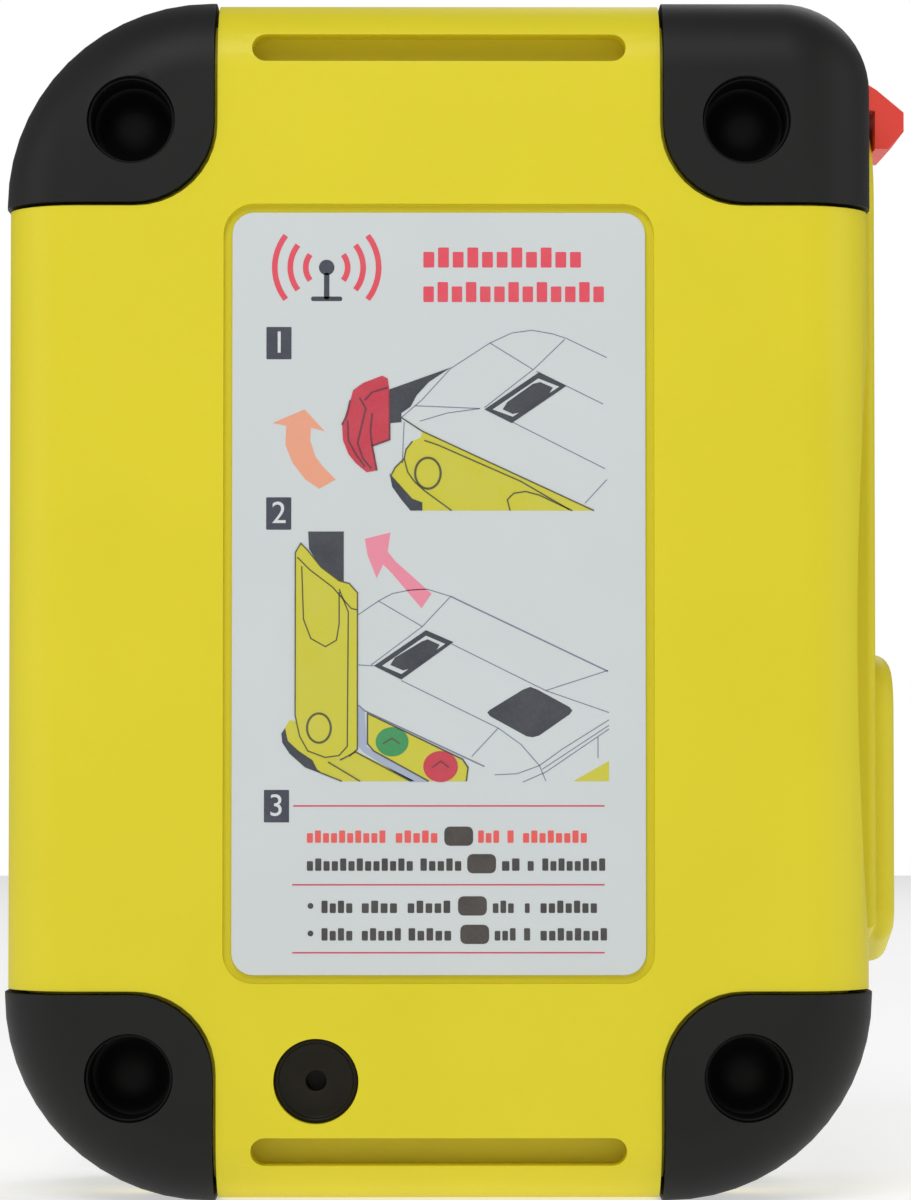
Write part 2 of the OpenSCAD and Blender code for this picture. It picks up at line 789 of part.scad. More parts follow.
rear_case();
bumper(-1, 1);  // bumper_top_left
bumper(1, 1);  // bumper_top_right
bumper(-1, -1);  // bumper_bottom_left
bumper(1, -1);  // bumper_bottom_right
screw_plugs();
case_screws();
threaded_inserts();
case_seal();
label_plate();
vent_plug();
vent_seal();
front_cover();
receiver_window();
front_badge();
keypad_bezel();
test_button();
activate_button();
tact_switches();
keypad_board();
main_board();
board_screws();
radio_shield();
receiver_spacer();
receiver_board();
patch_antenna();
strobe_leds();
buzzer();
battery_tray();
battery_cells();
battery_contacts();
battery_leads();
battery_plug();
antenna_socket();
antenna_lead();
pivot_pin();
arm_seal_ring();
antenna_arm();
pivot_bush();
pivot_cap();
tape_root();
tape_link(1);  // tape_1
tape_link(2);  // tape_2
tape_link(3);  // tape_3
tape_link(4);  // tape_4
tape_link(5);  // tape_5
tape_link(6);  // tape_6
tape_link(7);  // tape_7
tape_link(8);  // tape_8
tape_link(9);  // tape_9
release_tab();
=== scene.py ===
import json
import math

import bmesh
import bpy
from mathutils import Matrix, Vector


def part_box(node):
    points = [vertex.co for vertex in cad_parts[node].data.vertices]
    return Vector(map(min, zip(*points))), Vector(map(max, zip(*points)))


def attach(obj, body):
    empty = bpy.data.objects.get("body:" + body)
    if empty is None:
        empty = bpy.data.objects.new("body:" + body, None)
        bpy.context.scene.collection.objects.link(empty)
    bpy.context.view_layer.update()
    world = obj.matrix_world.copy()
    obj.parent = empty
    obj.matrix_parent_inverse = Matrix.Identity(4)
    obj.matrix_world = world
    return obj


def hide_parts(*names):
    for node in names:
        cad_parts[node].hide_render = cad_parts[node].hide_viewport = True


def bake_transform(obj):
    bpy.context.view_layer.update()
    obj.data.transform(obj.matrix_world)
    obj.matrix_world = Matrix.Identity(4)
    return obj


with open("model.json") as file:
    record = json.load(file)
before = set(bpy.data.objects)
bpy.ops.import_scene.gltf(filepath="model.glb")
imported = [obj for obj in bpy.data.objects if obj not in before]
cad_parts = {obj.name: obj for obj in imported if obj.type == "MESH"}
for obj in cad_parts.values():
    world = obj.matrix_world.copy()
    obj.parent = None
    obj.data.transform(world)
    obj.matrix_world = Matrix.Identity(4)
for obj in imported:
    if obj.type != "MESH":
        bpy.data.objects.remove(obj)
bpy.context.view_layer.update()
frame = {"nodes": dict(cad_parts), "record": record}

# ---------- rear case ----------
# The yellow back half: one deep moulding in fine-textured plastic, with round
# corners, a squarer one above the arm, and a broad rounded edge round its back.
# It is hollow, and four screws from the back draw it onto the front cover.
case_low, case_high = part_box("rear_case")
case_middle = Vector(((case_low.x + case_high.x) / 2, case_high.y, (case_low.z + case_high.z) / 2))


def at(x, y, z):
    """A place in millimetres from the case's middle: x to the arm, y forward of the seam, z up."""
    return case_middle + Vector((x, y, z)) * 0.001


def only(piece):
    bpy.ops.object.select_all(action="DESELECT")
    piece.select_set(True)
    bpy.context.view_layer.objects.active = piece


def edit(piece):
    only(piece)
    bpy.ops.object.mode_set(mode="EDIT")


def leave():
    bpy.ops.object.mode_set(mode="OBJECT")


def pick(kind, test):
    """Selects the corners, edges or faces for which test(place in mm, direction or normal) holds."""
    bpy.ops.mesh.select_mode(type=kind)
    bpy.ops.mesh.select_all(action="DESELECT")
    mesh = bmesh.from_edit_mesh(bpy.context.edit_object.data)
    for part in {"VERT": mesh.verts, "EDGE": mesh.edges, "FACE": mesh.faces}[kind]:
        if kind == "FACE":
            place, way = part.calc_center_median(), part.normal
        elif kind == "EDGE":
            place = (part.verts[0].co + part.verts[1].co) / 2
            way = (part.verts[1].co - part.verts[0].co).normalized()
        else:
            place, way = part.co, part.normal
        if test((place - case_middle) * 1000, way):
            part.select_set(True)
    mesh.select_flush_mode()
    bmesh.update_edit_mesh(bpy.context.edit_object.data)


def block(name, low, high):
    bpy.ops.object.select_all(action="DESELECT")
    bpy.ops.mesh.primitive_cube_add(size=1, location=(low + high) / 2, scale=high - low)
    piece = bpy.context.object
    piece.name = piece.data.name = name
    bpy.ops.object.transform_apply(location=True, rotation=True, scale=True)
    return piece


def bevel(width, steps):
    bpy.ops.mesh.bevel(offset=width * 0.001, segments=steps, affect="EDGES", clamp_overlap=False)


def round_upright(piece, corners, along=1, steps=14):
    """Rounds a block's edges along one axis: corners is a list of (place a, place b, radius)."""
    a, b = [i for i in range(3) if i != along]
    edit(piece)
    for first, second, radius in corners:
        pick("EDGE", lambda p, d: abs(d[along]) > 0.9
             and abs(p[a] - first) < 0.01 and abs(p[b] - second) < 0.01)
        bevel(radius, steps)
    leave()
    return piece


def plate(name, x0, x1, z0, z1, y0, y1, radius, arm_radius=None, steps=14):
    """A block whose four edges along the case's depth are rounded."""
    piece = block(name, at(x0, y0, z0), at(x1, y1, z1))
    return round_upright(piece, [(x0, z0, radius), (x1, z0, radius), (x0, z1, radius),
                                 (x1, z1, arm_radius or radius)], 1, steps)


def rod(name, low, high, radius, sides=64, end_radius=None):
    """A straight rod or cone between two places, modelled on its own axis."""
    way = high - low
    bpy.ops.object.select_all(action="DESELECT")
    bpy.ops.mesh.primitive_cone_add(vertices=sides, radius1=radius * 0.001,
                                    radius2=(radius if end_radius is None else end_radius) * 0.001,
                                    depth=way.length, location=(low + high) / 2,
                                    rotation=way.to_track_quat("Z", "Y").to_euler())
    piece = bpy.context.object
    piece.name = piece.data.name = name
    bpy.ops.object.transform_apply(location=True, rotation=True, scale=True)
    return piece


def apply(piece, kind, **settings):
    only(piece)
    modifier = piece.modifiers.new(kind.lower(), kind)
    for key, value in settings.items():
        setattr(modifier, key, value)
    bpy.ops.object.modifier_apply(modifier=modifier.name)
    return piece


def cut(piece, *tools, how="DIFFERENCE", solver="EXACT"):
    for tool in tools:
        apply(piece, "BOOLEAN", object=tool, operation=how, solver=solver)
        bpy.data.objects.remove(tool)
    return piece


def soften(piece, width, steps=2, angle=32):
    """Breaks the sharp edges by width mm and shades the rest smooth."""
    apply(piece, "BEVEL", width=width * 0.001, segments=steps, limit_method="ANGLE",
          angle_limit=math.radians(angle), harden_normals=False, use_clamp_overlap=True)
    only(piece)
    bpy.ops.object.shade_smooth_by_angle(angle=math.radians(angle + 14))
    apply(piece, "WEIGHTED_NORMAL", keep_sharp=True)
    return piece


def case_form(name, grow, front):
    """The case's outer form, grown by so many mm, with the broad rounding round its back."""
    w, h = 47.7 + grow, 66.15 + grow
    piece = plate(name, -w, w, -h, h, -20 - grow, front, 22.4 + grow, 9.6 + grow)
    edit(piece)
    pick("EDGE", lambda p, d: abs(p.y + 20 + grow) < 0.01)
    bevel(8 + grow, 9)
    leave()
    return piece


def bumper_zone(name, side, up, shrink, front):
    """The corner of the case that one bumper covers, with its rounded inner corner."""
    x, z = sorted((side * (24.3 + shrink), side * 70)), sorted((up * (43 + shrink), up * 90))
    piece = block(name, at(x[0], -40, z[0]), at(x[1], front, z[1]))
    return round_upright(piece, [(side * (24.3 + shrink), up * (43 + shrink), 9)], 1, 10)


corners = [(side, up) for side in (-1, 1) for up in (-1, 1)]
screw_x, screw_z, recess_radius = 33.8, 52.45, 4.85
rear_case = case_form("rear_case_shell", 0, 0)
for side, up in corners:
    zone = bumper_zone("zone", side, up, 0, -4)
    cut(zone, case_form("inner", -2.25, 0.5))
    cut(rear_case, zone)
cut(rear_case, plate("hollow", -41, 39.4, -56.4, 56.4, -15.4, 1, 12))
for side, up in corners:
    x, z = side * screw_x, up * screw_z
    cut(rear_case, rod("boss", at(x, -16, z), at(x, -0.6, z), 6.4), how="UNION")
    cut(rear_case, rod("recess", at(x, -24, z), at(x, -9, z), recess_radius, 72))
label_bed = plate("label_bed", -23.6, 23.6, -42.2, 43.2, -21, -19.3, 3.35, steps=8)
port_x, port_z = -13.4, -52.8
port_hole = rod("port_hole", at(port_x, -24, port_z), at(port_x, -13.5, port_z), 4.65, 72)
slots = [plate("slot", -20.55, 20.55, z - 1.55, z + 1.55, -22, -15.5, 1.545, steps=8) for z in (60.5, -60.5)]
hollow_x, hollow_y = 56.9, -1.5
hollow = rod("finger_hollow", at(hollow_x, hollow_y, -37.5), at(hollow_x, hollow_y, 29), 12, 96)
cut(rear_case, label_bed, port_hole, *slots, hollow)
for z0, z1, r0, r1 in ((-40.5, -37.49, 9.2, 12), (28.99, 32, 12, 9.2)):
    cut(rear_case, rod("hollow_end", at(hollow_x, hollow_y, z0), at(hollow_x, hollow_y, z1), r0, 96, r1))
# a long shallow sweep opens the hollow to the back
sweep_radius, sweep_depth, sweep_z = 372, 1.6, -5.2
sweep_x = 47.7 - sweep_depth + sweep_radius
cut(rear_case, rod("hand_sweep", at(sweep_x, -21, sweep_z), at(sweep_x, hollow_y, sweep_z), sweep_radius, 720))
soften(rear_case, 0.3, 2, 34)


class Amount:
    """A number that varies over a surface. Sums and products of it become Math nodes."""

    def __init__(self, finish, socket):
        self.finish, self.socket = finish, socket

    def _math(self, operation, first, second):
        return self.finish.node("ShaderNodeMath", {"operation": operation}, first, second)

    def __add__(self, other):
        return self._math("ADD", self, other)

    def __sub__(self, other):
        return self._math("SUBTRACT", self, other)

    def __rsub__(self, other):
        return self._math("SUBTRACT", other, self)

    def __mul__(self, other):
        return self._math("MULTIPLY", self, other)

    __radd__, __rmul__ = __add__, __mul__


class Finish:
    """One procedural material. Patterns are in metres on the piece's own place."""

    def __init__(self, name, **fixed):
        self.material = bpy.data.materials.new(name)
        self.material.use_nodes = True
        self.tree = self.material.node_tree
        self.shader = self.tree.nodes["Principled BSDF"]
        self.place = self.node("ShaderNodeTexCoord", {}, out="Object")
        for key, value in fixed.items():
            self.shader.inputs[key.replace("_", " ")].default_value = value

    def node(self, kind, settings, *inputs, out=0, **named):
        made = self.tree.nodes.new(kind)
        for key, value in settings.items():
            setattr(made, key, value)
        for key, value in [*enumerate(inputs), *((k.replace("_", " "), v) for k, v in named.items())]:
            self.feed(made.inputs[key], value)
        return Amount(self, made.outputs[out])

    def feed(self, socket, value):
        if isinstance(value, Amount):
            self.tree.links.new(value.socket, socket)
        elif value is not None:
            socket.default_value = value

    def noise(self, size, detail=2.0, rough=0.5, stretch=None):
        """Soft random grain whose blots are about size mm across."""
        place = self.place
        if stretch:
            place = self.node("ShaderNodeMapping", {}, place, Scale=stretch)
        return self.node("ShaderNodeTexNoise", {}, Vector=place, Scale=1000 / size, Detail=detail, Roughness=rough)

    def blend(self, share, first, second):
        """A colour between two, by a share from 0 to 1."""
        mixed = self.tree.nodes.new("ShaderNodeMix")
        mixed.data_type = "RGBA"
        for socket, value in ((mixed.inputs[0], share), (mixed.inputs[6], first), (mixed.inputs[7], second)):
            self.feed(socket, (*value, 1) if isinstance(value, tuple) and len(value) == 3 else value)
        return Amount(self, mixed.outputs[2])

    def wire(self, colour, roughness, height=None, relief=0.02, strength=0.5):
        """Links what varies: the colour, the roughness, and a relief whose depth is in mm."""
        self.feed(self.shader.inputs["Base Color"], (*colour, 1) if isinstance(colour, tuple) else colour)
        self.feed(self.shader.inputs["Roughness"], roughness)
        if height is not None:
            bump = self.node("ShaderNodeBump", {}, Strength=strength, Distance=relief * 0.001, Height=height)
            self.feed(self.shader.inputs["Normal"], bump)
        return self.material


def paint(piece, material):
    piece.data.materials.clear()
    piece.data.materials.append(material)
    return piece


shell = Finish("yellow_textured_plastic", Specular_IOR_Level=0.42, Subsurface_Weight=0.04, Subsurface_Scale=0.002)
grain, cloud = shell.noise(0.35, 3), shell.noise(22, 2)
yellow = shell.wire(shell.blend(cloud, (0.70, 0.605, 0.010), (0.76, 0.655, 0.015)),
                    0.40 + grain * 0.16, grain, 0.03, 0.35)
paint(rear_case, yellow)
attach(rear_case, "root")
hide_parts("rear_case")

# ---------- corner bumpers ----------
# Four guards moulded over the case's corners in charcoal elastomer. Each wraps the
# back and the sides, ends short of the seam, and is pierced for the case screw.
rubber_finish = Finish("charcoal_rubber", Specular_IOR_Level=0.20)
grain, cloud = rubber_finish.noise(0.25, 3, 0.6), rubber_finish.noise(9, 3)
rubber = rubber_finish.wire(rubber_finish.blend(cloud, (0.0085, 0.0095, 0.0085), (0.0130, 0.0140, 0.0125)),
                            0.44 + cloud * 0.12 + grain * 0.06, grain, 0.025, 0.4)
for side, up in corners:
    name = "bumper_" + ("bottom", "", "top")[up + 1] + ("_left", "", "_right")[side + 1]
    guard = case_form(name + "_guard", 0.35, 0)
    cut(guard, bumper_zone("zone", side, up, 0.4, -4.1), how="INTERSECT")
    cut(guard, case_form("inner", -2.2, 1))
    x, z = side * screw_x, up * screw_z
    cut(guard, rod("hole", at(x, -30, z), at(x, 0, z), recess_radius, 72))
    soften(guard, 0.55, 3, 40)
    paint(guard, rubber)
    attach(guard, "root")
    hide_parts(name)

# ---------- screw plugs ----------
# Soft black plugs pressed into the four screw recesses: a thin skirt lines the wall
# of each recess, and a low dome at its bottom hides the screw head.
black_rubber_finish = Finish("black_plug_rubber", Specular_IOR_Level=0.16)
grain = black_rubber_finish.noise(0.3, 3)
black_rubber = black_rubber_finish.wire(
    black_rubber_finish.blend(grain, (0.0018, 0.0018, 0.0017), (0.0045, 0.0045, 0.0042)),
                                        0.46 + grain * 0.2, grain, 0.02, 0.4)
plugs = []
for side, up in corners:
    x, z = side * screw_x, up * screw_z
    plug = rod("plug", at(x, -11.4, z), at(x, -19.3, z), 4.82, 64)
    edit(plug)
    pick("FACE", lambda p, n: n.y < -0.9)
    bpy.ops.mesh.inset(thickness=0.00035)
    bpy.ops.mesh.extrude_region_move(TRANSFORM_OT_translate={"value": (0, 0.0059, 0)})
    for step, rise in ((0.7, 0.0), (0.8, 0.45), (0.9, 0.35), (0.8, 0.15), (0.6, 0.03)):
        bpy.ops.mesh.inset(thickness=step * 0.001)
        bpy.ops.transform.translate(value=(0, -rise * 0.001, 0))
    leave()
    plugs.append(soften(plug, 0.12, 2, 70))
only(plugs[0])
for plug in plugs[1:]:
    plug.select_set(True)
bpy.ops.object.join()
screw_plugs = bpy.context.object
screw_plugs.name = screw_plugs.data.name = "screw_plug_domes"
paint(screw_plugs, black_rubber)
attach(screw_plugs, "root")
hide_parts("screw_plugs")

# ---------- label ----------
# A printed film with a satin face, stuck into a shallow bed in the case's back.
# It is cut a little smaller than the bed, so a narrow line shows all round it.
label_face = -19.8
label_sheet = plate("label_film", -22.65, 22.65, -41.25, 42.25, label_face, -19.3, 2.4, steps=8)
soften(label_sheet, 0.1, 2, 40)
film = Finish("label_film", Specular_IOR_Level=0.45, Coat_Weight=0.12, Coat_Roughness=0.3)
cloud, fibre = film.noise(16, 3), film.noise(0.6, 3, stretch=(1, 1, 6))
paint(label_sheet, film.wire(film.blend(cloud, (0.60, 0.645, 0.65), (0.645, 0.685, 0.69)),
                             0.34 + fibre * 0.12, fibre, 0.008, 0.3))
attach(label_sheet, "root")
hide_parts("label_plate")

# ---------- label print ----------
# The label's inks: a plain radio-wave symbol, a heading and lines of plain blocks,
# three numbers, and two small drawings of the arm, the tape and the two keys. Each
# colour is screened on as a thin raised layer, one over another.


film_step = 0.02  # mm of height for each layer of ink


def print_ink(name, colour, *shapes):
    """One colour of print. A shape is (layer, line width or 0 for a filled one, places in mm)."""
    layers = bmesh.new()
    for layer, width, places in shapes:
        made = bmesh.new()
        face = label_face - film_step * layer
        spots = [Vector(place) for place in places]
        if width:
            closed = spots[0] == spots[-1]
            rows = []
            for i, spot in enumerate(spots):
                before = spots[i - 1] if i else (spots[-2] if closed else None)
                after = spots[i + 1] if i + 1 < len(spots) else (spots[1] if closed else None)
                ways = [(b - a).normalized() for a, b in ((before, spot), (spot, after)) if a and b]
                along = sum(ways, Vector((0, 0))).normalized()
                side = Vector((-along.y, along.x)) * (width / 2 / max(0.6, along.dot(ways[0])))
                rows.append([made.verts.new(at(p.x, face, p.y)) for p in (spot + side, spot - side)])
            for (a, b), (c, d) in zip(rows, rows[1:]):
                made.faces.new((a, b, d, c))
            bmesh.ops.remove_doubles(made, verts=made.verts[:], dist=1e-6)
        else:
            made.faces.new([made.verts.new(at(p.x, face, p.y)) for p in spots])
        back = bmesh.ops.extrude_face_region(made, geom=made.faces[:])["geom"]
        for part in back:
            if isinstance(part, bmesh.types.BMVert):
                part.co.y += 0.00001 + film_step * 0.001 * layer
        bmesh.ops.recalc_face_normals(made, faces=made.faces[:])
        patch = bpy.data.meshes.new("patch")
        made.to_mesh(patch)
        made.free()
        layers.from_mesh(patch)
        bpy.data.meshes.remove(patch)
    piece = bpy.data.objects.new(name, bpy.data.meshes.new(name))
    bpy.context.collection.objects.link(piece)
    layers.to_mesh(piece.data)
    layers.free()
    return inked(piece, colour)


def inked(piece, colour):
    wash = Finish(piece.name, Specular_IOR_Level=0.4, Coat_Weight=0.1, Coat_Roughness=0.3)
    cloud, speck = wash.noise(3, 2), wash.noise(0.25, 3)
    pale = tuple(c + (0.62 - c) * 0.14 for c in colour)
    paint(piece, wash.wire(wash.blend(cloud * 0.55 + speck * 0.45, colour, pale),
                           0.33 + speck * 0.14, speck, 0.004, 0.3))
    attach(piece, "root")
    return piece


def ring(x, z, wide, high, count=28):
    turns = [2 * math.pi * i / count for i in range(count)]
    return [(x + wide * math.cos(a), z + high * math.sin(a)) for a in turns]


def loop(*places):
    """The same places, closed for a line that runs all round."""
    return [*places, places[0]]


def arc(x, z, radius, middle, spread, count=12):
    turns = [math.radians(middle - spread + 2 * spread * i / count) for i in range(count + 1)]
    return [(x + radius * math.cos(a), z + radius * math.sin(a)) for a in turns]


def tile(low_x, low_z, high_x, high_z, corner=0.25):
    """A rounded block."""
    places = []
    for x, z, start in ((high_x - corner, high_z - corner, 0), (low_x + corner, high_z - corner, 90),
                        (low_x + corner, low_z + corner, 180), (high_x - corner, low_z + corner, 270)):
        turns = [math.radians(start + turn) for turn in (0, 30, 60, 90)]
        places += [(x + corner * math.cos(turn), z + corner * math.sin(turn)) for turn in turns]
    return places


def blocks(z, high, pitch, *words):
    """Rows of small blocks, one row for each word from its start to its end."""
    made = []
    for start, end in words:
        count = max(1, round((end - start) / pitch))
        step = (end - start) / count
        for i in range(count):
            tall = high * (1, 0.78, 0.78, 1, 0.78)[(i + int(abs(start) * 10)) % 5]
            x, foot = start + i * step, z - high / 2
            made.append((1, 0, tile(x, foot, x + step * 0.74, foot + tall, 0.12)))
    return made


# the symbol: a mast that sends waves to both sides
mast_x, mast_z = -12.3, 36.2
print_ink("navy_ink", (0.020, 0.026, 0.050),
          (1, 0, ring(mast_x, mast_z, 0.85, 0.85)), (1, 0, tile(-12.6, 32.7, -12.0, 35.6, 0.2)),
          (1, 0, tile(-14.0, 32.5, -10.6, 33.0, 0.2)),
          *[(1, 0, tile(x, z, x + 2.75, z + 3.55, 0.1)) for x, z in ((-18.9, 26.1), (-18.9, 7.4), (-19.1, -24.6))])
print_ink("heading_ink", (0.76, 0.045, 0.085),
          *[(1, 0.62, arc(mast_x, mast_z, radius, middle, 38)) for radius in (2.3, 4.0, 5.7) for middle in (0, 180)],
          *blocks(37.3, 2.2, 1.55, (-1.7, 16.0)), *blocks(33.5, 2.2, 1.5, (-1.7, 18.5)))
print_ink("rule_ink", (0.62, 0.020, 0.095),
          *[(1, 0.16, [(start, z), (18.1, z)]) for start, z in ((-15.9, -22.8), (-16.0, -31.4), (-16.0, -38.8))])
print_ink("red_line_ink", (0.80, 0.075, 0.065),
          *blocks(-26.15, 1.35, 0.92, (-14.4, -5.6), (-4.7, 0.1), (4.3, 6.8), (7.5, 8.4), (9.2, 16.4)))
print_ink("black_line_ink", (0.022, 0.018, 0.018),
          *blocks(-29.2, 1.35, 0.92, (-14.4, -2.6), (-2.0, 2.7), (6.9, 9.1), (9.7, 10.6), (11.3, 18.4)),
          *blocks(-33.8, 1.35, 0.92, (-12.8, -9.2), (-8.4, -4.3), (-3.4, 1.5), (5.9, 8.4), (9.4, 10.1), (11.1, 17.5)),
          *blocks(-36.8, 1.35, 0.92, (-12.8, -9.2), (-8.4, -3.9), (-3.3, 1.6), (6.1, 8.6), (9.3, 10.2), (11.1, 18.6)),
          (1, 0, ring(-14.0, -33.7, 0.32, 0.32)), (1, 0, ring(-14.0, -36.7, 0.32, 0.32)))
print_ink("key_mark_ink", (0.028, 0.019, 0.013),
          *[(1, 0, tile(x, z - 1.05, x + 3.15, z + 1.05, 0.6))
            for x, z in ((0.6, -26.1), (3.1, -29.1), (2.1, -33.7), (2.35, -36.8))])

# the three numbers
for number, (x, z) in zip("123", ((-17.5, 27.85), (-17.5, 9.15), (-17.75, -22.85))):
    bpy.ops.object.select_all(action="DESELECT")
    bpy.ops.object.text_add()
    digit = bpy.context.object
    digit.name = "number_" + number
    digit.data.body = number
    digit.data.size, digit.data.extrude = 0.0034, 0.00002
    digit.data.align_x, digit.data.align_y = "CENTER", "CENTER"
    bpy.ops.object.convert(target="MESH")
    digit = bpy.context.object
    digit.data.transform(Matrix.Translation(at(x, label_face - 0.03, z)) @ Matrix.Rotation(math.radians(90), 4, "X"))
    inked(digit, (0.66, 0.70, 0.71))

# the drawings
print_ink("outline_ink", (0.17, 0.19, 0.29),
          (1, 0.1, [(-4.1, 19.7), (-1.8, 21.7), (1.3, 25.1), (5.6, 27.9), (8.0, 29.0), (10.2, 29.3),
                  (12.5, 28.9), (14.0, 28.4), (18.4, 26.3)]),
          (1, 0.1, [(5.6, 27.9), (10.3, 25.0)]),
          (1, 0.1, [(13.8, 28.3), (10.5, 25.1), (5.0, 20.8)]),
          (1, 0.1, [(-2.6, 21.0), (4.5, 20.7)]),
          (1, 0.1, [(-2.1, 19.3), (0.9, 20.2), (4.5, 20.7)]),
          (1, 0.1, [(10.7, 24.8), (18.0, 21.2)]),
          (1, 0.1, [(8.1, 19.2), (18.2, 14.1)]),
          (1, 0.1, [(16.0, 10.3), (18.4, 12.9)]),
          (1, 0.1, [(-3.8, 19.2), (-4.0, 14.7)]),
          (1, 0.1, [(-8.8, -1.9), (-6.6, -0.4), (-5.1, 0.4), (-3.1, 0.8), (-1.3, 0.9), (1.3, 0.1)]),
          (1, 0.1, [(-6.6, -0.4), (-1.8, -3.2)]),
          (1, 0.1, [(1.3, 0.1), (-1.8, -3.2), (-7.4, -7.4)]),
          (1, 0.1, [(-8.8, -7.4), (-7.1, -7.5)]),
          (1, 0.1, [(1.4, -5.1), (11.7, -10.2), (18.6, -12.6)]),
          (1, 0.1, [(-4.1, -9.1), (6.5, -14.3), (9.0, -16.1), (11.0, -18.4), (11.7, -20.1)]),
          (1, 0.1, [(6.1, -19.4), (8.5, -19.3), (11.0, -18.4), (13.5, -16.6), (18.6, -13.4)]),
          (1, 0.1, [(11.7, -10.2), (18.5, -8.0)]),
          (1, 0.1, [(6.5, -14.3), (3.6, -17.4)]),
          (1, 0.1, [(11.3, -18.8), (18.6, -14.0)]),
          (1, 0.1, [(9.2, -20.2), (11.7, -19.1), (18.6, -14.4)]),
          (1, 0.1, [(17.4, -15.3), (17.4, -17.6)]),
          (1, 0.16, [(1.3, 0.1), (18.5, -8.1)]),
          (1, 0.16, [(-8.8, -11.8), (-8.1, -12.4), (5.0, -18.5)]))
print_ink("yellow_ink", (0.60, 0.56, 0.012),
          (1, 0, [(-1.8, 18.2), (17.0, 9.5), (-2.4, 9.5), (-3.8, 10.4), (-4.9, 11.9), (-5.3, 13.2),
                  (-4.9, 14.2), (-3.8, 15.2), (-3.6, 16.3), (-2.9, 17.1), (-2.0, 17.5)]),
          (3, 0, [(-15.7, 4.9), (-15.1, 5.9), (-12.9, 3.3), (-10.9, 1.8), (-9.8, 1.5), (-8.9, 0.5),
                  (-8.9, -16.6), (-9.8, -17.4), (-11.1, -17.7), (-12.8, -17.5), (-14.3, -16.9),
                  (-15.3, -15.2), (-15.7, -12.9)]),
          (1, 0, [(-17.0, -14.6), (-16.3, -13.4), (-15.6, -13.6), (-14.3, -16.9), (-10.8, -17.8),
                  (-9.1, -16.8), (-2.6, -20.1), (-10.6, -20.1), (-13.1, -19.1), (-15.8, -17.1),
                  (-16.8, -15.7)]),
          (2, 0, [(-7.7, -12.8), (2.5, -17.8), (3.1, -18.6), (3.0, -20.1), (-0.9, -20.1), (-7.1, -16.8),
                  (-7.7, -16.0)]),
          (1, 0, [(14.7, -20.1), (18.6, -17.9), (18.6, -20.1)]))
print_ink("black_ink", (0.018, 0.024, 0.038),
          (2, 0, [(-5.4, 13.6), (-2.9, 10.8), (-1.8, 10.4), (-1.8, 9.5), (-3.1, 9.5), (-4.1, 10.7),
                  (-5.1, 12.1)]),
          (2, 0, [(5.0, 20.6), (11.0, 24.7), (14.0, 23.2), (8.0, 19.1)]),
          (4, 0, [(7.0, 20.6), (7.5, 21.4), (10.3, 23.4), (11.1, 23.6), (12.5, 23.0), (12.0, 22.2),
                  (9.0, 20.3), (8.1, 20.1)]),
          (2, 0, [(-5.4, 22.8), (1.3, 25.2), (-1.1, 23.6), (-2.4, 22.2), (-3.1, 20.9), (-4.1, 20.2),
                  (-4.1, 19.2), (-5.3, 19.1)]),
          (2, 0, [(-14.3, 7.2), (-10.4, 7.2), (-10.4, 1.7), (-11.3, 1.8), (-12.8, 3.0), (-14.2, 5.3)]),
          (2, 0, [(-17.2, -14.9), (-16.8, -14.3), (-16.5, -15.7), (-15.3, -16.8), (-13.8, -17.8),
                  (-13.3, -18.8), (-12.5, -19.4), (-14.6, -18.6), (-16.3, -17.1), (-17.1, -15.9)]),
          (2, 0, [(-7.1, -7.5), (-1.4, -3.6), (1.6, -4.9), (-4.1, -9.0)]),
          (4, 0, [(-5.3, -7.4), (-4.8, -6.6), (-1.8, -4.8), (-1.2, -4.6), (0.1, -5.2), (-0.4, -6.0),
                  (-3.1, -7.8), (-3.9, -8.0)]),
          (1, 0, [(5.3, -12.6), (5.6, -12.3), (9.2, -10.1), (10.0, -9.8), (10.8, -10.1), (14.3, -12.0),
                  (14.6, -12.4), (14.3, -12.8), (11.0, -15.1), (10.3, -15.3), (9.6, -15.2), (5.6, -13.0)]))
